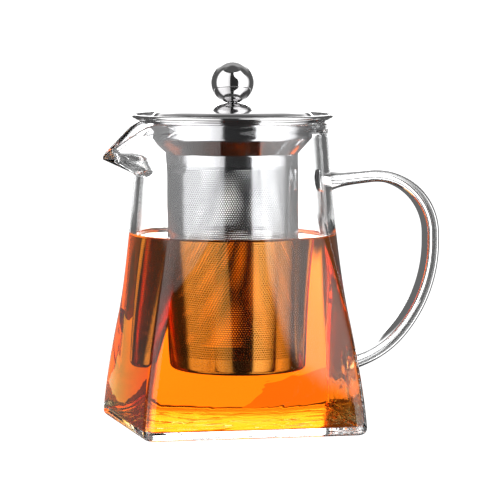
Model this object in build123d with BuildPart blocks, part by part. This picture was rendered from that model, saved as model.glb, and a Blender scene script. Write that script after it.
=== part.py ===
"""Square-based glass teapot with a steel infuser and a steel lid.

Millimetres, +Z up. The origin is the centre of the foot, on the surface the pot stands on.
The beak points along -X and the handle along +X.
"""
from math import acos, atan, cos, pi, sin, sqrt

from build123d import *
import os

os.makedirs("parts", exist_ok=True)

# glass vessel
BASE_HALF = 48.2        # half the width across the flats of the square foot
CORNER_R = 6.0          # radius of the foot's upright corners
ROUND_R = 43.0          # radius where the square has become a circle
ROUND_Z = 94.0
ROUNDING = 1.38         # above 1, the square turns round more slowly near the foot
MOUTH_R = 40.1
MOUTH_Z = 129.9
WALL = 2.6
FLOOR = 3.4
FLOOR_BEND = 2.0        # radius between the inner wall and the floor
FOOT_ROUND = 3.0

# beak
BEAK_TIP = 56.1         # reach of the lip from the axis
BEAK_TIP_R = 3.0
BEAK_ROOT_Z = 108.0
BEAK_LIP_Z = 114.4      # underside of the lip
BEAK_DIP = 0.78         # fall of the rim per mm of reach

# handle
STRIP_T = 5.3
STRIP_W = 13.0
STRIP_ROUND = 2.4

# infuser
COLLAR_R = 34.0
SLEEVE_R = 28.0
SHEET = 0.6
SLEEVE_T = 0.5
FLANGE_R = 39.6
FLANGE_Z = 130.0
COLLAR_LOW_Z = 123.4
CONE_LOW_Z = 116.4
SKIRT_Z = 112.0
CUP_TOP_Z = 30.0
CUP_LOW_Z = 24.5

# lid
LID_R = 42.7
BEAD_R = 0.8            # rolled edge
LID_Z = 130.7           # underside of the flat rim
LID_TOP_Z = 138.0
DOME_R = 150.0          # radius of curvature of the crown
CROWN_R = 28.0
DOME_FOOT_R = 35.4
RING_R = 33.0
RING_LOW_Z = 124.6

# knob
BALL_R = 9.0
BALL_Z = 146.6
SCREW_R = 1.95
HOLE_R = 2.0
WASHER_R = 4.5
WASHER_T = 0.8


def skin(inset, z, side_count=8, corner_count=4):
    """Points round the vessel's section at height z, moved inwards by inset.

    The section is a mixture of the foot's rounded square and a circle, side for side and
    corner for corner, so the sides swell while the corners stay crisp.
    """
    t = min(z / ROUND_Z, 1.0) ** ROUNDING
    radius = ROUND_R + (MOUTH_R - ROUND_R) * max(z - ROUND_Z, 0.0) / (MOUTH_Z - ROUND_Z) - inset
    half, corner = BASE_HALF - inset, CORNER_R - inset
    flat = half - corner
    side_angle = atan(flat / half)
    quarter = []
    for i in range(side_count):
        s = 2 * (i + 0.5) / side_count - 1
        quarter.append((half, flat * s, side_angle * s))
    for i in range(corner_count):
        s = (i + 0.5) / corner_count
        turn = pi / 2 * s
        angle = side_angle + (pi / 2 - 2 * side_angle) * s
        quarter.append((flat + corner * cos(turn), flat + corner * sin(turn), angle))
    points = []
    for k in range(4):
        c, s = cos(k * pi / 2), sin(k * pi / 2)
        for x, y, angle in quarter:
            u = (1 - t) * x + t * radius * cos(angle)
            v = (1 - t) * y + t * radius * sin(angle)
            points.append((u * c - v * s, u * s + v * c))
    return points


def teardrop(ring_r, tip_x, tip_r):
    """A circle about the axis drawn out to a small round tip on the -X side."""
    c = tip_x - tip_r
    a = acos((ring_r - tip_r) / c)
    n = (-cos(a), sin(a))
    p1, p2 = (ring_r * n[0], ring_r * n[1]), (-c + tip_r * n[0], tip_r * n[1])
    q1, q2 = (p1[0], -p1[1]), (p2[0], -p2[1])
    Line(p1, p2)
    ThreePointArc(p2, (-tip_x, 0), q2)
    Line(q2, q1)
    ThreePointArc(q1, (ring_r, 0), p1)


def dome_z(r):
    """Height of the crown's upper surface."""
    return LID_TOP_Z - DOME_R + sqrt(DOME_R**2 - r * r)


def sheet_line(points, radii, thick):
    """Closed outline of bent sheet: one face runs through the points, the other lies to their right."""
    face = Polyline(*points)
    for point, radius in zip(points[1:-1], radii):
        corner = face.vertices().sort_by_distance((point[0], point[1], 0))[0]
        face = fillet(corner, radius)
    offset(face, amount=thick, side=Side.RIGHT)


# ---- glass body
LEVELS = (0.0, 18.0, 36.0, 54.0, 74.0, 94.0, 112.0, 132.0)
with BuildPart() as glass_body:
    for z in LEVELS:
        with BuildSketch(Plane.XY.offset(z)):
            with BuildLine():
                Spline(*skin(0.0, z), periodic=True)
            make_face()
    loft()
    fillet(glass_body.edges().sort_by(Axis.Z)[0], FOOT_ROUND)
    with BuildSketch(Plane.XY.offset(BEAK_ROOT_Z)):
        with BuildLine():
            teardrop(40.0, 42.2, 33.0)
        make_face()
    with BuildSketch(Plane.XY.offset(BEAK_LIP_Z)):
        with BuildLine():
            teardrop(MOUTH_R - 1.1, BEAK_TIP, BEAK_TIP_R)
        make_face()
    loft(ruled=True)
    with BuildSketch(Plane.XY.offset(BEAK_LIP_Z)):
        with BuildLine():
            teardrop(MOUTH_R - 1.1, BEAK_TIP, BEAK_TIP_R)
        make_face()
    extrude(amount=132.0 - BEAK_LIP_Z)
    # hollow
    with BuildPart(mode=Mode.PRIVATE) as hollow:
        for z in (FLOOR,) + LEVELS[1:]:
            with BuildSketch(Plane.XY.offset(z)):
                with BuildLine():
                    Spline(*skin(WALL, z), periodic=True)
                make_face()
        loft()
        fillet(hollow.edges().sort_by(Axis.Z)[0], FLOOR_BEND)
        with BuildSketch(Plane.XY.offset(BEAK_ROOT_Z + 2.2)):
            with BuildLine():
                teardrop(37.4, 39.6, 30.0)
            make_face()
        with BuildSketch(Plane.XY.offset(BEAK_LIP_Z + 2.4)):
            with BuildLine():
                teardrop(MOUTH_R - WALL - 1.1, BEAK_TIP - 2.5, 1.2)
            make_face()
        loft(ruled=True)
        with BuildSketch(Plane.XY.offset(BEAK_LIP_Z + 2.4)):
            with BuildLine():
                teardrop(MOUTH_R - WALL - 1.1, BEAK_TIP - 2.5, 1.2)
            make_face()
        extrude(amount=20.0)
    add(hollow.part, mode=Mode.SUBTRACT)
    # level rim that dips towards the beak
    with BuildSketch(Plane.XZ):
        with BuildLine():
            rim = Polyline(
                (60, MOUTH_Z), (-39.5, MOUTH_Z), (-60, MOUTH_Z - 20.5 * BEAK_DIP),
                (-60, 140), (60, 140), (60, MOUTH_Z),
            )
            fillet(rim.vertices().sort_by(Axis.X)[2], 14.0)
        make_face()
    extrude(amount=60, both=True, mode=Mode.SUBTRACT)
glass_body.part.label = "glass_body"
export_step(glass_body.part, "parts/glass_body.step")

# ---- glass handle: a flat strip fused to the wall at both ends
with BuildPart() as glass_handle:
    with BuildLine(Plane.XZ) as run:
        top = Line((43.0, 104.6), (59.8, 106.2))
        bend = JernArc(start=top @ 1, tangent=top % 1, radius=25.6, arc_size=-95.3)
        side = Line(bend @ 1, (bend @ 1) + (bend % 1) * 3.5)
        grip = JernArc(start=side @ 1, tangent=side % 1, radius=58.0, arc_size=-42.0)
        tail = JernArc(start=grip @ 1, tangent=grip % 1, radius=40.0, arc_size=-40.0)
    with BuildSketch(Plane(origin=top @ 0, x_dir=(0, 1, 0), z_dir=top % 0)):
        RectangleRounded(STRIP_W, STRIP_T, STRIP_ROUND)
    sweep(path=run.wires()[0])
    for x0, at, along, wide, tall in (
        (41.4, top @ 0.5, top % 0.5, 17.0, 8.4),
        (45.4, tail @ 0.86, (tail % 0.86) * -1, 17.0, 9.6),
    ):
        with BuildSketch(Plane(origin=(x0, 0, at.Z - 0.6), x_dir=(0, 1, 0), z_dir=(1, 0, 0))):
            RectangleRounded(wide, tall, 0.49 * tall)
        with BuildSketch(Plane(origin=at, x_dir=(0, 1, 0), z_dir=along)):
            RectangleRounded(STRIP_W, STRIP_T, STRIP_ROUND)
        loft()
    add(glass_body.part, mode=Mode.SUBTRACT)
glass_handle.part.label = "glass_handle"
export_step(glass_handle.part, "parts/glass_handle.step")

# ---- infuser: spun collar, perforated sleeve (plain here), pressed cup
with BuildPart() as infuser_collar:
    with BuildSketch(Plane.XZ):
        with BuildLine():
            sheet_line(
                [(FLANGE_R, FLANGE_Z), (COLLAR_R, FLANGE_Z), (COLLAR_R, COLLAR_LOW_Z),
                 (SLEEVE_R, CONE_LOW_Z), (SLEEVE_R, SKIRT_Z)],
                [0.7, 3.5, 1.6], SHEET,
            )
        make_face()
    revolve(axis=Axis.Z)
infuser_collar.part.label = "infuser_collar"
export_step(infuser_collar.part, "parts/infuser_collar.step")

with BuildPart() as infuser_sleeve:
    with BuildSketch(Plane.XY.offset(CUP_TOP_Z)):
        Circle(SLEEVE_R)
        Circle(SLEEVE_R - SLEEVE_T, mode=Mode.SUBTRACT)
    extrude(amount=SKIRT_Z - CUP_TOP_Z)
infuser_sleeve.part.label = "infuser_sleeve"
export_step(infuser_sleeve.part, "parts/infuser_sleeve.step")

with BuildPart() as infuser_cup:
    with BuildSketch(Plane.XY.offset(CUP_LOW_Z)):
        Circle(SLEEVE_R)
    extrude(amount=CUP_TOP_Z - CUP_LOW_Z)
    fillet(infuser_cup.edges().sort_by(Axis.Z)[0], 2.0)
    offset(amount=-SLEEVE_T, openings=infuser_cup.faces().sort_by(Axis.Z)[-1])
infuser_cup.part.label = "infuser_cup"
export_step(infuser_cup.part, "parts/infuser_cup.step")

# ---- lid: pressed crown with a flared rim, and a ring that centres it in the collar
with BuildPart() as lid_shell:
    with BuildSketch(Plane.XZ) as lid_section:
        with BuildLine():
            sheet_line(
                [(HOLE_R, dome_z(HOLE_R)), (CROWN_R / 2, dome_z(CROWN_R / 2)), (CROWN_R, dome_z(CROWN_R)),
                 (32.6, 134.3), (DOME_FOOT_R, LID_Z + SHEET), (40.4, LID_Z + SHEET), (42.2, 132.6)],
                [60.0, 8.0, 3.5, 1.2, 2.0], SHEET,
            )
        make_face()
        with Locations((LID_R - BEAD_R, 132.4)):
            Circle(BEAD_R)
    revolve(axis=Axis.Z)
lid_shell.part.label = "lid_shell"
export_step(lid_shell.part, "parts/lid_shell.step")

with BuildPart() as lid_ring:
    with BuildSketch(Plane.XY.offset(RING_LOW_Z)):
        Circle(RING_R)
        Circle(RING_R - SLEEVE_T, mode=Mode.SUBTRACT)
    extrude(amount=133.0 - RING_LOW_Z)
    add(lid_shell.part, mode=Mode.SUBTRACT)
lid_ring.part.label = "lid_ring"
export_step(lid_ring.part, "parts/lid_ring.step")

# ---- knob: ball, held from below by a screw and a washer
with BuildPart() as knob_ball:
    with Locations((0, 0, BALL_Z)):
        Sphere(BALL_R)
    with Locations((0, 0, BALL_Z - BALL_R)):
        Cylinder(HOLE_R, BALL_R, align=(Align.CENTER, Align.CENTER, Align.MIN), mode=Mode.SUBTRACT)
    add(lid_shell.part, mode=Mode.SUBTRACT)
knob_ball.part.label = "knob_ball"
export_step(knob_ball.part, "parts/knob_ball.step")

WASHER_Z = dome_z(WASHER_R) - SHEET - 0.12
with BuildPart() as knob_washer:
    with BuildSketch(Plane.XY.offset(WASHER_Z)):
        Circle(WASHER_R)
        Circle(HOLE_R, mode=Mode.SUBTRACT)
    extrude(amount=-WASHER_T)
knob_washer.part.label = "knob_washer"
export_step(knob_washer.part, "parts/knob_washer.step")

with BuildPart() as knob_screw:
    with BuildSketch(Plane.XY.offset(WASHER_Z - WASHER_T)):
        Circle(3.4)
    extrude(amount=-2.4)
    fillet(knob_screw.edges().sort_by(Axis.Z)[0], 1.1)
    with BuildSketch(Plane.XY.offset(WASHER_Z - WASHER_T - 2.4)):
        Rectangle(3.6, 0.8)
        Rectangle(0.8, 3.6)
    extrude(amount=1.3, mode=Mode.SUBTRACT)
    with BuildSketch(Plane.XY.offset(WASHER_Z - WASHER_T)):
        Circle(SCREW_R)
    extrude(amount=8.5)
knob_screw.part.label = "knob_screw"
export_step(knob_screw.part, "parts/knob_screw.step")
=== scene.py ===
"""Looks of the glass teapot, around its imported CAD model. Lengths are in metres."""
from math import acos, atan2, cos, hypot, pi, radians, sin, sqrt

import bpy
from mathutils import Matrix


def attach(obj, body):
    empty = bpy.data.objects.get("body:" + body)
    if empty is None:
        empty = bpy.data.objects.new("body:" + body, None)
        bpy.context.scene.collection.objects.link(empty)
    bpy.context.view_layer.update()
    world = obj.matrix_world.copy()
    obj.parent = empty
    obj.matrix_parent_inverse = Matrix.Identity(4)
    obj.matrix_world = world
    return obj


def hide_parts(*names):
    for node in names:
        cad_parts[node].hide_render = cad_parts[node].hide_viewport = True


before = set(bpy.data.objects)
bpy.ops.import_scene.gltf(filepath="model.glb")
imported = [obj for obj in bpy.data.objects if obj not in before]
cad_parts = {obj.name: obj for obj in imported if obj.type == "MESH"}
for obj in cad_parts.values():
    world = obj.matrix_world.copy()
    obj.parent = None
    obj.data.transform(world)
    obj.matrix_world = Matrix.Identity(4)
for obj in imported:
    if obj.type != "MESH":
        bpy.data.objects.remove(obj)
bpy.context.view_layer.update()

MM = 0.001


# ---------------------------------------------------------------- the vessel's shape (mm)
BASE_HALF, CORNER_R = 48.2, 6.0
ROUND_R, ROUND_Z, ROUNDING = 43.0, 94.0, 1.38
MOUTH_R, MOUTH_Z = 40.1, 129.9
WALL, FLOOR, FLOOR_BEND, FOOT_ROUND = 2.6, 3.4, 2.0, 3.0
BEAK_TIP, BEAK_TIP_R = 56.1, 3.0
BEAK_ROOT_Z, BEAK_LIP_Z, BEAK_DIP, BEAK_DIP_X = 108.0, 114.4, 0.78, 39.5
BEAD, BEAK_BEAD, BEAD_DEPTH = 0.45, 1.0, 2.2
RIM_ROUND, BEAK_RIM_ROUND = 1.2, 0.5
LEVEL_TO, INNER_LEVEL_TO, CLIMB_POWER = 106.5, 107.5, 1.15  # above these heights rings follow the rim
TEA_Z, TEA_CLIMB = 81.3, 1.2
SIDE_COLS, CORNER_COLS = 80, 22
COLS = 4 * (SIDE_COLS + CORNER_COLS)


def soft_max(a, b, k):
    h = max(k - abs(a - b), 0.0) / k
    return max(a, b) + h * h * k * 0.25


def soft_min(a, b, k):
    return -soft_max(-a, -b, k)


def fade_out(x):
    """1 at zero, falling away smoothly above it."""
    return 2.718 ** -x


def roundness(z):
    """0 where the section is the foot's rounded square, 1 where it has become a circle."""
    return max(0.0, min(z / ROUND_Z, 1.0)) ** ROUNDING


def circle_radius(z):
    return ROUND_R + (MOUTH_R - ROUND_R) * max(0.0, z - ROUND_Z) / (MOUTH_Z - ROUND_Z)


SIDE_ANGLE = atan2(BASE_HALF - CORNER_R, BASE_HALF)


def column_angles():
    """The direction of each column of points where the section is a circle."""
    out = []
    for quarter in range(4):
        for i in range(SIDE_COLS):
            out.append(quarter * pi / 2 + SIDE_ANGLE * (2 * i / SIDE_COLS - 1))
        for i in range(CORNER_COLS):
            out.append(quarter * pi / 2 + SIDE_ANGLE + (pi / 2 - 2 * SIDE_ANGLE) * i / CORNER_COLS)
    return out


ANGLES = column_angles()


def square_ring(half, corner):
    """A rounded square's outline, one point for each column."""
    flat = half - corner
    out = []
    for quarter in range(4):
        c, s = cos(quarter * pi / 2), sin(quarter * pi / 2)
        side = [(half, flat * (2 * i / SIDE_COLS - 1)) for i in range(SIDE_COLS)]
        turns = [pi / 2 * i / CORNER_COLS for i in range(CORNER_COLS)]
        side += [(flat + corner * cos(b), flat + corner * sin(b)) for b in turns]
        out += [(x * c - y * s, x * s + y * c) for x, y in side]
    return out


def drawn_radius(a, ring, tip, tip_r):
    """Distance to a circle drawn out to a small round tip on the -X side."""
    phi = abs(atan2(sin(a - pi), cos(a - pi)))
    c = tip - tip_r
    n = acos((ring - tip_r) / c)
    if phi >= n:
        return ring
    tx, ty = c + tip_r * cos(n), tip_r * sin(n)
    if phi < atan2(ty, tx):
        b = c * cos(phi)
        return b + sqrt(max(b * b - (c * c - tip_r * tip_r), 0.0))
    return ring / cos(n - phi)


def wall_radius(a, z, inset=0.0):
    """Radius of the round upper wall and its beak in the direction a; inset moves it inwards."""
    r = circle_radius(z) - inset
    k = inset / WALL
    root_z, lip_z = BEAK_ROOT_Z + 2.2 * k, BEAK_LIP_Z + 2.4 * k
    if z <= root_z:
        return r
    root = drawn_radius(a, 40.0 - 2.6 * k, 42.2 - 2.6 * k, 33.0 - 3.0 * k)
    lip = drawn_radius(a, MOUTH_R - 1.1 - WALL * k, BEAK_TIP - 2.5 * k, BEAK_TIP_R - 1.8 * k)
    t = min((z - root_z) / (lip_z - root_z), 1.0)
    return soft_max(r, root + (lip - root) * t, 1.6)


def ring_points(z, inset=0.0):
    """The vessel's section at height z as (x, y) points, moved inwards by inset."""
    t = roundness(z)
    if t >= 1.0:
        return [(wall_radius(a, z, inset) * cos(a), wall_radius(a, z, inset) * sin(a)) for a in ANGLES]
    square = square_ring(BASE_HALF - inset, CORNER_R - inset)
    r = ROUND_R - inset
    return [(x * (1 - t) + r * cos(a) * t, y * (1 - t) + r * sin(a) * t) for (x, y), a in zip(square, ANGLES)]


def rim_z(a, r):
    """Height of the rim where it crosses the point at r in the direction a."""
    x = -r * cos(a)
    return soft_min(MOUTH_Z, MOUTH_Z - BEAK_DIP * (x - BEAK_DIP_X), 3.0)


# ---------------------------------------------------------------- mesh helpers
def new_object(name, verts, faces, smooth=True, sharp=None):
    me = bpy.data.meshes.new(name)
    me.from_pydata([(x * MM, y * MM, z * MM) for x, y, z in verts], [], faces)
    me.validate()
    if smooth:
        me.polygons.foreach_set("use_smooth", [True] * len(me.polygons))
    if sharp is not None:
        me.set_sharp_from_angle(angle=radians(sharp))
    me.update()
    ob = bpy.data.objects.new(name, me)
    bpy.context.scene.collection.objects.link(ob)
    return ob


def grid_faces(rows, cols, first=0, closed=True):
    """Quads between rows of points that go round; each row has cols points."""
    out = []
    for i in range(rows - 1):
        for j in range(cols if closed else cols - 1):
            k = (j + 1) % cols
            p = first + i * cols
            out.append((p + j, p + k, p + cols + k, p + cols + j))
    return out


def cap_faces(row, cols, centre, up):
    """Triangles from a row of points to a centre point."""
    p = row * cols
    return [((p + j, p + (j + 1) % cols, centre) if up else (p + (j + 1) % cols, p + j, centre))
            for j in range(cols)]


def lathe(name, outline, count=192, sharp=35.0):
    """Turns a closed outline of (r, z) points, given anticlockwise with r to the right, about Z."""
    verts, faces = [], []
    on_axis = [r < 1e-6 for r, _ in outline]
    index = []
    for (r, z), axis in zip(outline, on_axis):
        index.append(len(verts))
        if axis:
            verts.append((0.0, 0.0, z))
        else:
            verts += [(r * cos(2 * pi * j / count), r * sin(2 * pi * j / count), z) for j in range(count)]
    n = len(outline)
    for i in range(n):
        k = (i + 1) % n
        a, b = index[i], index[k]
        if on_axis[i] and on_axis[k]:
            continue
        for j in range(count):
            m = (j + 1) % count
            if on_axis[i]:
                faces.append((a, b + m, b + j))
            elif on_axis[k]:
                faces.append((a + j, a + m, b))
            else:
                faces.append((a + j, a + m, b + m, b + j))
    return new_object(name, verts, faces, sharp=sharp)


def rounded(points, radii, steps=8):
    """A line through the points with an arc of the given radius at each inner corner."""
    out = [points[0]]
    for (x0, y0), (x1, y1), (x2, y2), radius in zip(points, points[1:], points[2:], radii):
        ux, uy = x0 - x1, y0 - y1
        vx, vy = x2 - x1, y2 - y1
        lu, lv = hypot(ux, uy), hypot(vx, vy)
        ux, uy, vx, vy = ux / lu, uy / lu, vx / lv, vy / lv
        turn = acos(max(-1.0, min(1.0, ux * vx + uy * vy)))
        if radius <= 0 or turn > pi - 1e-3:
            out.append((x1, y1))
            continue
        reach = radius / (sin(turn / 2) / cos(turn / 2))
        bx, by = ux + vx, uy + vy
        lb = hypot(bx, by)
        cx, cy = x1 + bx / lb * radius / sin(turn / 2), y1 + by / lb * radius / sin(turn / 2)
        a0 = atan2(y1 + uy * reach - cy, x1 + ux * reach - cx)
        a1 = atan2(y1 + vy * reach - cy, x1 + vx * reach - cx)
        d = (a1 - a0 + pi) % (2 * pi) - pi
        out += [(cx + radius * cos(a0 + d * i / steps), cy + radius * sin(a0 + d * i / steps))
                for i in range(steps + 1)]
    out.append(points[-1])
    return out


def offset_line(points, d):
    """The same line moved to its left by d."""
    out = []
    for i, (x, y) in enumerate(points):
        x0, y0 = points[max(i - 1, 0)]
        x1, y1 = points[min(i + 1, len(points) - 1)]
        tx, ty = x1 - x0, y1 - y0
        length = hypot(tx, ty)
        out.append((x - ty / length * d, y + tx / length * d))
    return out


def sheet(points, thick):
    """Closed outline of sheet metal whose right-hand face runs through the points."""
    return points + offset_line(points, thick)[::-1]


# ---------------------------------------------------------------- node helpers
class Tree:
    """Short ways to add nodes to a material or world."""

    def __init__(self, owner):
        owner.use_nodes = True
        self.nt = owner.node_tree
        self.nt.nodes.clear()

    def add(self, kind, **values):
        node = self.nt.nodes.new("ShaderNode" + kind)
        for key, value in values.items():
            setattr(node, key, value)
        return node

    def set(self, node, **values):
        for key, value in values.items():
            node.inputs[key.replace("_", " ")].default_value = value
        return node

    def link(self, a, b):
        self.nt.links.new(a, b)

    def math(self, op, a, b=None):
        node = self.add("Math", operation=op)
        for i, v in enumerate((a, b)):
            if v is None:
                continue
            if isinstance(v, (int, float)):
                node.inputs[i].default_value = v
            else:
                self.link(v, node.inputs[i])
        return node.outputs[0]


GLASS_IOR, TEA_IOR = 1.47, 1.333
# painted shade: a tea-coloured darkening multiplied onto steel below the tea level
TEA_SHADE_TINT = (0.92, 0.72, 0.60)


def material(name):
    m = bpy.data.materials.new(name)
    return m, Tree(m)


def steel(name, colour, rough, grain, grain_scale, bump, stretch, painted_shade_tint=None):
    """Steel whose polish varies finely: grain is how much, stretch how it is drawn out.

    The tint given as the last argument is painted shade: a tea-coloured darkening of the metal below the
    level of the tea.
    """
    m, t = material(name)
    out = t.add("OutputMaterial")
    p = t.add("BsdfPrincipled")
    t.set(p, Metallic=1.0, IOR=2.5)
    coord = t.add("TexCoord")
    mapping = t.add("Mapping")
    mapping.inputs["Scale"].default_value = stretch
    noise = t.set(t.add("TexNoise"), Scale=grain_scale, Detail=4.0, Roughness=0.6)
    t.link(coord.outputs["Object"], mapping.inputs["Vector"])
    t.link(mapping.outputs["Vector"], noise.inputs["Vector"])
    spread = t.add("MapRange")
    t.set(spread, To_Min=max(rough - grain, 0.0), To_Max=rough + grain)
    t.link(noise.outputs["Fac"], spread.inputs["Value"])
    t.link(spread.outputs["Result"], p.inputs["Roughness"])
    ramp = t.add("ValToRGB")
    for element, k in zip(ramp.color_ramp.elements, (0.94, 1.05)):
        element.color = [min(c * k, 1.0) for c in colour] + [1]
    t.link(noise.outputs["Fac"], ramp.inputs["Fac"])
    if painted_shade_tint is None:
        t.link(ramp.outputs["Color"], p.inputs["Base Color"])
    else:
        sep = t.add("SeparateXYZ")
        t.link(coord.outputs["Object"], sep.inputs[0])
        # painted shade: below the tea level the metal's colour is multiplied by the tea-coloured tint
        level = t.add("MapRange")
        t.set(level, From_Min=(TEA_Z - 0.8) * MM, From_Max=(TEA_Z + 0.4) * MM, To_Min=1.0, To_Max=0.0)
        t.link(sep.outputs["Z"], level.inputs["Value"])
        mix = t.add("MixRGB", blend_type="MULTIPLY")
        mix.inputs["Color2"].default_value = painted_shade_tint + (1,)
        t.link(level.outputs["Result"], mix.inputs["Fac"])
        t.link(ramp.outputs["Color"], mix.inputs["Color1"])
        t.link(mix.outputs["Color"], p.inputs["Base Color"])
    b = t.set(t.add("Bump"), Strength=bump, Distance=0.0002)
    t.link(noise.outputs["Fac"], b.inputs["Height"])
    t.link(b.outputs["Normal"], p.inputs["Normal"])
    t.link(p.outputs[0], out.inputs["Surface"])
    return m


def clear_glass(name, ior, wave, wave_scale, stretch, low_wave=None):
    """Glass with a faintly uneven surface; low_wave is how uneven it is near the foot."""
    m, t = material(name)
    out = t.add("OutputMaterial")
    p = t.add("BsdfPrincipled")
    t.set(p, Roughness=0.0, IOR=ior, Transmission_Weight=1.0)
    p.inputs["Base Color"].default_value = (0.985, 0.99, 0.992, 1)
    coord = t.add("TexCoord")
    mapping = t.add("Mapping")
    mapping.inputs["Scale"].default_value = stretch
    noise = t.set(t.add("TexNoise"), Scale=wave_scale, Detail=1.5, Roughness=0.5)
    t.link(coord.outputs["Object"], mapping.inputs["Vector"])
    t.link(mapping.outputs["Vector"], noise.inputs["Vector"])
    b = t.set(t.add("Bump"), Strength=wave, Distance=0.001)
    if low_wave is not None:
        t.set(noise, Distortion=1.6)
        sep = t.add("SeparateXYZ")
        t.link(coord.outputs["Object"], sep.inputs[0])
        depth = t.add("MapRange")
        t.set(depth, From_Min=0.022, From_Max=0.05, To_Min=low_wave, To_Max=wave)
        t.link(sep.outputs["Z"], depth.inputs["Value"])
        t.link(depth.outputs["Result"], b.inputs["Strength"])
    t.link(noise.outputs["Fac"], b.inputs["Height"])
    t.link(b.outputs["Normal"], p.inputs["Normal"])
    t.link(p.outputs[0], out.inputs["Surface"])
    return m


def tea_material(name):
    m, t = material(name)
    out = t.add("OutputMaterial")
    p = t.add("BsdfPrincipled")
    t.set(p, Roughness=0.0, Transmission_Weight=1.0)
    p.inputs["Base Color"].default_value = (1, 1, 1, 1)
    # light bends at the open surface; at the sides the wetted glass already bends it
    surface = t.add("Attribute", attribute_name="open_surface")
    t.link(t.math("ADD", 1.0, t.math("MULTIPLY", surface.outputs["Fac"], TEA_IOR - 1.0)), p.inputs["IOR"])
    v = t.add("VolumeAbsorption")
    v.inputs["Color"].default_value = (0.992, 0.70, 0.03, 1)
    v.inputs["Density"].default_value = 70.0
    t.link(p.outputs[0], out.inputs["Surface"])
    t.link(v.outputs[0], out.inputs["Volume"])
    return m


GLASS = clear_glass("clear_glass", GLASS_IOR, 0.10, 60.0, (1.0, 1.0, 0.35))
WET_GLASS = clear_glass("wet_glass", GLASS_IOR / TEA_IOR, 0.05, 32.0, (1.0, 1.0, 2.0), 0.6)
HANDLE_GLASS = clear_glass("handle_glass", GLASS_IOR, 0.08, 90.0, (1.0, 1.0, 1.0))
TEA = tea_material("black_tea")
POLISHED = steel("polished_steel", (0.64, 0.635, 0.64), 0.09, 0.05, 500.0, 0.02, (1, 1, 1))
SATIN = steel("satin_steel", (0.60, 0.595, 0.61), 0.11, 0.04, 700.0, 0.03, (1, 1, 8))
# the perforated steel gets painted tea-coloured shade below the tea level
PERFORATED = steel("perforated_steel", (0.42, 0.42, 0.43), 0.12, 0.03, 800.0, 0.03, (1, 1, 1),
                   TEA_SHADE_TINT)
PLAIN = steel("plain_steel", (0.62, 0.62, 0.64), 0.25, 0.06, 900.0, 0.05, (1, 1, 1))


def finish_piece(ob, mat, body, slot, *nodes):
    ob.data.materials.append(mat)
    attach(ob, body)
    if nodes:
        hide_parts(*nodes)
    return ob


# ---------------------------------------------------------------- glass vessel
def foot_rings():
    """The underside and its rounded edge, from the middle outwards and up."""
    rings = []
    for i in range(7):
        b = pi / 2 * i / 6
        z = FOOT_ROUND * (1 - cos(b))
        inset = FOOT_ROUND * (1 - sin(b))
        rings.append([(x, y, z) for x, y in ring_points(z, inset)])
    return [[(x * f, y * f, 0.0) for x, y, _ in rings[0]] for f in (0.35, 0.7, 0.9)] + rings


def floor_rings(grow):
    """From the inner wall's foot, round the bend and over the floor; grow pushes them into the glass."""
    rings = []
    for i in range(9):
        b = pi / 2 * i / 8
        z = FLOOR - grow + FLOOR_BEND * (1 - sin(b))
        inset = WALL - grow + FLOOR_BEND * (1 - cos(b))
        rings.append([(x, y, z) for x, y in ring_points(z, inset)])
    return rings + [[(x * f, y * f, z) for x, y, z in rings[-1]] for f in (0.75, 0.5, 0.25)]


BEND_TOP = FLOOR + FLOOR_BEND


def vessel_mesh():
    rings = foot_rings()
    for i in range(1, 53):
        z = FOOT_ROUND + (LEVEL_TO - FOOT_ROUND) * i / 52
        rings.append([(x, y, z) for x, y in ring_points(z)])
    # wall above the beak's root, up to the rim, which dips at the beak
    tops = [rim_z(a, wall_radius(a, 124.0)) for a in ANGLES]
    inner_tops = [rim_z(a, wall_radius(a, 124.0, WALL)) for a in ANGLES]
    steps = 34

    def lip(a):
        """1 at the beak's tip, fading to 0 round the mouth."""
        return max(0.0, -cos(a)) ** 3

    def round_over(a):
        return RIM_ROUND + BEAK_RIM_ROUND * lip(a)

    def swollen(a, z, top, inset):
        """The wall with the bead that fire polishing leaves at the rim; the beak's grows inwards."""
        fade = fade_out(((top - z) / BEAD_DEPTH) ** 2)
        if inset:
            return wall_radius(a, z, inset + (BEAD + BEAK_BEAD * lip(a)) * fade)
        return wall_radius(a, z, -BEAD * (1 - lip(a)) * fade)

    def climb(low, heights, inset, t):
        row = []
        for a, top in zip(ANGLES, heights):
            shoulder = top - round_over(a)
            z = low + (shoulder - low) * t
            r = swollen(a, z, shoulder, inset)
            row.append((r * cos(a), r * sin(a), z))
        return row

    rings += [climb(LEVEL_TO, tops, 0.0, (i / steps) ** CLIMB_POWER) for i in range(1, steps + 1)]
    for i in range(1, 8):
        b = pi * i / 8
        row = []
        for a, top, inner in zip(ANGLES, tops, inner_tops):
            drop = round_over(a)
            ro = swollen(a, top - drop, top - drop, 0.0)
            ri = swollen(a, inner - drop, inner - drop, WALL)
            r = (ro + ri) / 2 + (ro - ri) / 2 * cos(b)
            z = (top + inner) / 2 + (top - inner) / 2 * cos(b) - drop * (1 - sin(b))
            row.append((r * cos(a), r * sin(a), z))
        rings.append(row)
    rings += [climb(INNER_LEVEL_TO, inner_tops, WALL, (i / steps) ** CLIMB_POWER)
              for i in range(steps, 0, -1)]
    wet_z = TEA_Z + TEA_CLIMB
    for i in range(12, -1, -1):
        z = wet_z + (INNER_LEVEL_TO - wet_z) * i / 12
        rings.append([(x, y, z) for x, y in ring_points(z, WALL)])
    dry_faces = (len(rings) - 1) * COLS
    for i in range(38, 0, -1):
        z = BEND_TOP + (wet_z - BEND_TOP) * i / 39
        rings.append([(x, y, z) for x, y in ring_points(z, WALL)])
    rings += floor_rings(0.0)
    verts, faces = closed(rings, (0, 0, 0), (0, 0, FLOOR))
    # after the quads come the underside's middle and then the floor's middle
    under_faces = range((len(rings) - 1) * COLS, len(rings) * COLS)
    wet = [i >= dry_faces and i not in under_faces for i in range(len(faces))]
    return verts, faces, wet


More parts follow.
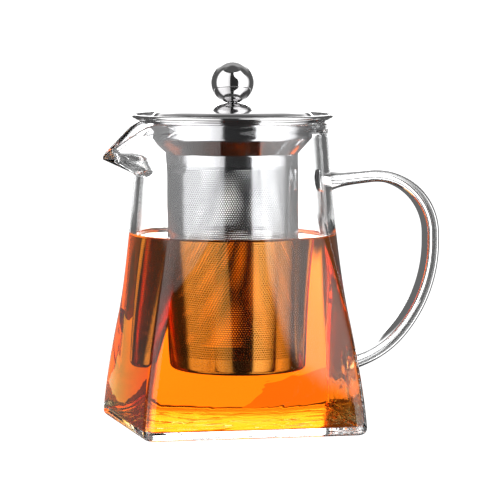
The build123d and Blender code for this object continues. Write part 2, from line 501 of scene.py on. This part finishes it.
def closed(rings, first, last):
    """A closed skin over rings of points, with a point at each end."""
    verts = [p for ring in rings for p in ring] + [first, last]
    cols = len(rings[0])
    faces = grid_faces(len(rings), cols)
    faces += cap_faces(0, cols, len(verts) - 2, False)
    faces += cap_faces(len(rings) - 1, cols, len(verts) - 1, True)
    return verts, faces


verts, faces, wet = vessel_mesh()
glass = new_object("glass_vessel", verts, faces)
finish_piece(glass, GLASS, "pot", "glass", "glass_body")
glass.data.materials.append(WET_GLASS)
glass.data.polygons.foreach_set("material_index", [int(w) for w in wet])


# ---------------------------------------------------------------- tea
def tea_mesh():
    """The body of tea, and for each of its points whether it is on the open surface."""
    gap = 0.02
    rings = floor_rings(-gap)[::-1]
    for i in range(1, 39):
        z = BEND_TOP + (TEA_Z + TEA_CLIMB - BEND_TOP) * i / 38
        rings.append([(x, y, z) for x, y in ring_points(z, WALL + gap)])
    covered = len(rings)
    # the surface climbs a little where it wets the glass
    for d in (0.05, 0.15, 0.3, 0.5, 0.9, 1.4, 2.0, 3.0):
        z = TEA_Z + TEA_CLIMB * fade_out(d / 0.75)
        rings.append([(x, y, z) for x, y in ring_points(TEA_Z, WALL + d)])
    flat_ring = ring_points(TEA_Z, WALL + 3.0)
    rings += [[(x * f, y * f, TEA_Z) for x, y in flat_ring] for f in (0.93, 0.8, 0.6, 0.4, 0.2)]
    verts, faces = closed(rings, (0, 0, FLOOR + gap), (0, 0, TEA_Z))
    surface = [float(i >= covered * COLS) for i in range(len(verts))]
    surface[-2] = 0.0
    return verts, faces, surface


verts, faces, surface = tea_mesh()
tea = new_object("tea", verts, faces)
tea.data.attributes.new("open_surface", "FLOAT", "POINT").data.foreach_set("value", surface)
finish_piece(tea, TEA, "pot", "glass")


# ---------------------------------------------------------------- handle
STRIP_T, STRIP_W, STRIP_ROUND = 5.3, 13.0, 2.4
FLARE, FLARE_ROUND, FLARE_REACH = 4.2, 2.2, 4.5  # how the strip swells where it meets the wall


def handle_path():
    """Points (x, z) and unit directions along the middle of the strip, from the upper root to the lower."""
    root, bend = (41.0, 104.4), (59.8, 106.2)
    dx, dz = bend[0] - root[0], bend[1] - root[1]
    length = hypot(dx, dz)
    d = (dx / length, dz / length)
    pts = [((root[0] + dx * i / 14, root[1] + dz * i / 14), d) for i in range(15)]
    x, z = bend
    for radius, turn, steps in ((25.6, 95.3, 44), (None, 3.5, 3), (58.0, 42.0, 36), (40.0, 44.0, 24)):
        if radius is None:
            for i in range(1, steps + 1):
                pts.append(((x + d[0] * turn * i / steps, z + d[1] * turn * i / steps), d))
            x, z = pts[-1][0]
            continue
        cx, cz = x + d[1] * radius, z - d[0] * radius
        a0 = atan2(z - cz, x - cx)
        d0 = d
        for i in range(1, steps + 1):
            b = radians(turn) * i / steps
            pts.append(((cx + radius * cos(a0 - b), cz + radius * sin(a0 - b)),
                        (d0[0] * cos(b) + d0[1] * sin(b), d0[1] * cos(b) - d0[0] * sin(b))))
        (x, z), d = pts[-1]
    while x > 45.2:
        x, z = x + d[0] * 1.0, z + d[1] * 1.0
        pts.append(((x, z), d))
    return pts


def strip_section(wide, tall, corner, steps=9):
    out = []
    for qx, qy, a0 in ((1, 1, 0.0), (-1, 1, pi / 2), (-1, -1, pi), (1, -1, 1.5 * pi)):
        for i in range(steps):
            a = a0 + pi / 2 * i / (steps - 1)
            x, y = wide / 2 - corner, tall / 2 - corner
            out.append((qx * x + corner * cos(a), qy * y + corner * sin(a)))
    return out


def handle_mesh():
    path = handle_path()
    run = [0.0]
    for (p, _), (q, _) in zip(path, path[1:]):
        run.append(run[-1] + hypot(p[0] - q[0], p[1] - q[1]))
    verts, rows = [], 0
    for ((x, z), (dx, dz)), s in zip(path, run):
        near = fade_out(s / FLARE_REACH)
        far = fade_out((run[-1] - s) / FLARE_REACH) * 1.15
        flare = max(near, far)
        wide, tall = STRIP_W + FLARE * flare, STRIP_T + FLARE * flare
        corner = min(STRIP_ROUND + FLARE_ROUND * flare, tall / 2 - 0.05)
        cols = 0
        for u, v in strip_section(wide, tall, corner):
            verts.append((x - dz * v, u, z + dx * v))
            cols += 1
        rows += 1
    faces = grid_faces(rows, cols)
    # ends lie inside the wall
    faces.append(tuple(range(cols))[::-1])
    faces.append(tuple((rows - 1) * cols + j for j in range(cols)))
    return verts, [tuple(reversed(f)) for f in faces]


verts, faces = handle_mesh()
handle = new_object("handle_strip", verts, faces, sharp=60.0)
finish_piece(handle, HANDLE_GLASS, "pot", "handle_glass", "glass_handle")


# ---------------------------------------------------------------- infuser
COLLAR_R, SLEEVE_R, SHEET, SLEEVE_T = 34.0, 28.0, 0.6, 0.5
FLANGE_R, FLANGE_Z, COLLAR_LOW_Z, CONE_LOW_Z = 39.6, 130.0, 123.4, 116.4
SKIRT_Z, CUP_TOP_Z, CUP_LOW_Z = 112.0, 30.0, 24.5

line = rounded([(SLEEVE_R, SKIRT_Z), (SLEEVE_R, CONE_LOW_Z), (COLLAR_R, COLLAR_LOW_Z), (COLLAR_R, FLANGE_Z),
                (FLANGE_R, FLANGE_Z)], [1.6, 3.5, 0.7], steps=10)
collar = lathe("infuser_collar_skin", sheet(line, SHEET), sharp=50.0)
finish_piece(collar, SATIN, "infuser", "infuser_steel", "infuser_collar")

line = rounded([(0.0, CUP_LOW_Z), (SLEEVE_R, CUP_LOW_Z), (SLEEVE_R, CUP_TOP_Z)], [2.0])
in_r, in_z = SLEEVE_R - SLEEVE_T, CUP_LOW_Z + SLEEVE_T
inner = [(0.0, in_z)] + rounded([(1.0, in_z), (in_r, in_z), (in_r, CUP_TOP_Z)], [1.5])
cup = lathe("infuser_cup_skin", line + inner[::-1], sharp=50.0)
finish_piece(cup, PERFORATED, "infuser", "infuser_steel", "infuser_cup")


def perforated(name, first, count, total, low, high, hole):
    """A slice of the tube with staggered round holes: columns first to first + count of total."""
    pitch = 2 * pi * SLEEVE_R / total
    rows = int((high - 1.2 - low - 0.8) / (pitch * sqrt(3) / 2))
    rise = pitch * sqrt(3) / 2
    start = low + 0.8
    corner = pitch / sqrt(3)
    flat, keys, quads = [], {}, []

    def vertex(x, z):
        key = (round(x * 1e4), round(z * 1e4))
        if key not in keys:
            keys[key] = len(flat)
            flat.append((x, z))
        return keys[key]

    for j in range(rows):
        cz = start + corner + j * rise
        for i in range(first, first + count):
            cx = (i + 0.5 * (j % 2)) * pitch
            ring = [vertex(cx + corner * cos(radians(30 + 60 * k)), cz + corner * sin(radians(30 + 60 * k)))
                    for k in range(6)]
            mid = [vertex(cx + hole * cos(radians(30 + 60 * k)), cz + hole * sin(radians(30 + 60 * k)))
                   for k in range(6)]
            for k in range(6):
                m = (k + 1) % 6
                quads.append((ring[k], ring[m], mid[m], mid[k]))
    # plain margins below and above
    for j, side, edge in ((0, -1, low), (rows - 1, 1, high)):
        cz = start + corner + j * rise
        for i in range(first, first + count):
            cx = (i + 0.5 * (j % 2)) * pitch
            peak = vertex(cx, cz + side * corner)
            left = vertex(cx - pitch / 2, cz + side * corner / 2)
            right = vertex(cx + pitch / 2, cz + side * corner / 2)
            a, b, c = vertex(cx - pitch / 2, edge), vertex(cx, edge), vertex(cx + pitch / 2, edge)
            new = [(left, peak, b, a), (peak, right, c, b)]
            quads += new if side > 0 else [f[::-1] for f in new]
    # two skins, joined round every hole and edge
    n = len(flat)
    verts = []
    for r in (SLEEVE_R, SLEEVE_R - SLEEVE_T * 0.7):
        verts += [(r * cos(x / SLEEVE_R), r * sin(x / SLEEVE_R), z) for x, z in flat]
    faces = list(quads) + [tuple(v + n for v in reversed(f)) for f in quads]
    used = {}
    for f in quads:
        for a, b in zip(f, f[1:] + f[:1]):
            used[(a, b)] = used.get((a, b), 0) + 1
    faces += [(b, a, a + n, b + n) for a, b in used if (b, a) not in used]
    return new_object(name, verts, faces, sharp=40.0)


TOTAL, SLICES, HOLE = 168, 3, 0.33  # HOLE is from a hole's middle to its corners
for s in range(SLICES):
    part = perforated("infuser_mesh_%d" % (s + 1), s * TOTAL // SLICES, TOTAL // SLICES, TOTAL,
                      CUP_TOP_Z, SKIRT_Z, HOLE)
    finish_piece(part, PERFORATED, "infuser", "perforated_steel", "infuser_sleeve")

# ---------------------------------------------------------------- lid and knob
LID_Z, LID_TOP_Z, DOME_R, CROWN_R, DOME_FOOT_R = 130.7, 138.0, 150.0, 28.0, 35.4
HOLE_R, BALL_R, BALL_Z = 2.0, 9.0, 146.6


def dome_z(r):
    return LID_TOP_Z - DOME_R + sqrt(DOME_R**2 - r * r)


crown = [(r, dome_z(r)) for r in (HOLE_R + (CROWN_R - HOLE_R) * i / 26 for i in range(27))]
brim = rounded([crown[-1], (32.6, 134.3), (DOME_FOOT_R, LID_Z + SHEET), (40.4, LID_Z + SHEET),
                (42.2, 132.6)], [3.5, 1.2, 2.0], steps=10)
upper = crown + brim[1:]
lower = offset_line(upper, -SHEET)
edge_r, edge_z, roll = 41.9, 132.4, 0.8
bead = [(edge_r + roll * cos(radians(a)), edge_z + roll * sin(radians(a))) for a in range(105, -136, -15)]
lid = lathe("lid_skin", (upper[:-1] + bead + lower[::-1][1:])[::-1], sharp=50.0)
finish_piece(lid, POLISHED, "lid", "polished_steel", "lid_shell")

line = rounded([(32.5, 132.4), (32.5, 124.6), (33.0, 124.6), (33.0, 132.9)], [0.2, 0.2], 4)
ring = lathe("lid_ring_skin", line)
finish_piece(ring, SATIN, "lid", "infuser_steel", "lid_ring")

low_r = 2.9
low_z = BALL_Z - sqrt(BALL_R**2 - low_r**2)
start = -acos(low_r / BALL_R)
turns = [start + (pi / 2 - start) * i / 60 for i in range(60)]
line = [(0.0, low_z)] + [(BALL_R * cos(a), BALL_Z + BALL_R * sin(a)) for a in turns]
line.append((0.0, BALL_Z + BALL_R))
ball = lathe("knob_skin", line, sharp=50.0)
finish_piece(ball, POLISHED, "lid", "polished_steel", "knob_ball")

for node in ("knob_washer", "knob_screw"):
    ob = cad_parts[node]
    ob.data.materials.clear()
    ob.data.materials.append(PLAIN)

# ---------------------------------------------------------------- floor, light and camera
CAM_AZ, CAM_DIST, CAM_H, CAM_PITCH = -13.0, 1.400, 0.187, 4.57
CAM_LENS, CAM_SHIFT = 236.88, 0.035
FLOOR_HALF, BACKDROP_R, WHITE = 3000.0, 4500.0, 1.2


def glowing(name, strength):
    m, t = material(name)
    out = t.add("OutputMaterial")
    e = t.set(t.add("Emission"), Strength=strength)
    t.link(e.outputs[0], out.inputs["Surface"])
    return m


def stage_sweep():
    """A white floor and backdrop that only the camera sees, and a lit card on the table.

    The card lies behind the pot towards the handle and shows only through glass and tea.
    """
    s = FLOOR_HALF
    floor = new_object("floor", [(-s, -s, -0.05), (s, -s, -0.05), (s, s, -0.05), (-s, s, -0.05)],
                       [(0, 1, 2, 3)], smooth=False)
    floor.data.materials.append(glowing("floor_white", WHITE))
    n, r = 48, BACKDROP_R
    wall = [(r * cos(2 * pi * i / n), r * sin(2 * pi * i / n), z)
            for z in (-800.0, 4000.0) for i in range(n)]
    backdrop = new_object("backdrop", wall, grid_faces(2, n), smooth=False)
    backdrop.data.materials.append(glowing("backdrop_white", WHITE))
    corners = [(10.0, 52.0), (210.0, 110.0), (185.0, 190.0), (40.0, 130.0)]
    card = new_object("card", [(x, y, -0.1) for x, y in corners], [(0, 1, 2, 3)], smooth=False)
    card.data.materials.append(glowing("card_white", 1.2))
    card.visible_camera = False
    for ob in (floor, backdrop):
        ob.visible_transmission = False
    for ob in (floor, backdrop, card):
        ob.visible_glossy = False
        ob.visible_diffuse = False
        ob.visible_shadow = False


def studio():
    """Two soft boxes in front, a bright sheet behind, and a dim room, as light from far away.

    The sheet is set twice: once for rays that come through glass or tea, once for all others.
    """
    world = bpy.data.worlds.new("studio")
    bpy.context.scene.world = world
    t = Tree(world)
    out = t.add("OutputWorld")
    coord = t.add("TexCoord")
    sep = t.add("SeparateXYZ")
    t.link(coord.outputs["Generated"], sep.inputs[0])
    x, y, z = sep.outputs
    c, s = cos(radians(CAM_AZ)), sin(radians(CAM_AZ))
    right = t.math("ADD", t.math("MULTIPLY", x, c), t.math("MULTIPLY", y, s))
    front = t.math("ADD", t.math("MULTIPLY", x, s), t.math("MULTIPLY", y, -c))
    az = t.math("MULTIPLY", t.math("ARCTAN2", right, front), 180 / pi)
    el = t.math("MULTIPLY", t.math("ARCSINE", z), 180 / pi)
    away = t.math("ABSOLUTE", az)
    behind = t.math("FLOORED_MODULO", az, 360.0)

    def step(v, at, soft, rising=True):
        node = t.add("MapRange", interpolation_type="SMOOTHSTEP")
        node.inputs["From Min"].default_value = at - soft
        node.inputs["From Max"].default_value = at + soft
        node.inputs["To Min"].default_value = 0.0 if rising else 1.0
        node.inputs["To Max"].default_value = 1.0 if rising else 0.0
        t.link(v, node.inputs["Value"])
        return node.outputs[0]

    def panel(strength, v, low, high, bottom, top, soft=(1.5, 1.5, 3.0)):
        a = t.math("MULTIPLY", step(v, low, soft[0]), step(v, high, soft[1], False))
        b = t.math("MULTIPLY", step(el, bottom, soft[2]), step(el, top, soft[2], False))
        return t.math("MULTIPLY", t.math("MULTIPLY", a, b), strength)

    # the right box's near edge comes inwards as it rises
    shift = t.add("MapRange", interpolation_type="SMOOTHSTEP")
    for key, v in (("From Min", 8.0), ("From Max", 42.0), ("To Min", 0.0), ("To Max", 24.0)):
        shift.inputs[key].default_value = v
    t.link(el, shift.inputs["Value"])
    lean = t.math("ADD", az, shift.outputs[0])
    left_glow = t.math("ADD", 0.55, t.math("MULTIPLY", step(az, -32.0, 20.0, False), 0.45))
    right_glow = t.math("ADD", 0.4, t.math("MULTIPLY", step(az, 80.0, 20.0, False), 0.6))

    def total(panels):
        lit = panels[0]
        for p in panels[1:]:
            lit = t.math("ADD", lit, p)
        return lit

    room = total([
        t.math("MULTIPLY", panel(2.2, az, -94.0, -14.0, -50.0, 52.0, (8.0, 1.5, 3.0)), left_glow),
        t.math("MULTIPLY", panel(3.0, lean, 34.0, 102.0, -52.0, 56.0, (2.0, 8.0, 3.0)), right_glow),
        panel(0.35, away, 125.0, 190.0, 28.0, 72.0, (14.0, 1.0, 8.0)),
        panel(0.10, away, 88.0, 190.0, -50.0, 70.0, (10.0, 1.0, 8.0)),
        panel(0.09, el, 58.0, 100.0, -100.0, 100.0, (6.0, 1.0, 1.0)),
    ])
    # the sheet behind the pot, as it shows through glass and tea and as surfaces mirror it
    through = total([
        panel(4.5, behind, 170.0, 195.0, 0.0, 18.0, (3.0, 3.0, 2.0)),
        panel(2.0, behind, 170.0, 195.0, -16.0, 0.0, (3.0, 3.0, 2.0)),
    ])
    mirrored = total([
        panel(4.0, away, 168.0, 190.0, 0.0, 20.0, (4.0, 1.0, 1.5)),
        panel(1.5, away, 150.0, 190.0, 20.0, 36.0, (8.0, 1.0, 3.0)),
    ])
    path = t.add("LightPath").outputs["Is Transmission Ray"]
    sheet_light = t.math("ADD", t.math("MULTIPLY", through, path),
                         t.math("MULTIPLY", mirrored, t.math("SUBTRACT", 1.0, path)))
    bg = t.add("Background")
    t.link(t.math("ADD", t.math("ADD", room, sheet_light), 0.035), bg.inputs["Strength"])
    bg.inputs["Color"].default_value = (1, 1, 1, 1)
    t.link(bg.outputs[0], out.inputs["Surface"])


stage_sweep()
studio()

cam = bpy.data.objects.new("camera", bpy.data.cameras.new("camera"))
bpy.context.scene.collection.objects.link(cam)
cam.location = (sin(radians(CAM_AZ)) * CAM_DIST, -cos(radians(CAM_AZ)) * CAM_DIST, CAM_H)
cam.rotation_euler = (radians(90 - CAM_PITCH), 0, radians(CAM_AZ))
cam.data.sensor_width = 36
cam.data.lens = CAM_LENS
cam.data.shift_x = CAM_SHIFT
cam.data.clip_end = 20
bpy.context.scene.camera = cam

scene = bpy.context.scene
scene.view_settings.view_transform = "Standard"
scene.cycles.max_bounces = 40
scene.cycles.transmission_bounces = 32
scene.cycles.glossy_bounces = 12
scene.cycles.transparent_max_bounces = 16
scene.cycles.caustics_refractive = True
scene.cycles.caustics_reflective = True
scene.cycles.blur_glossy = 0.2
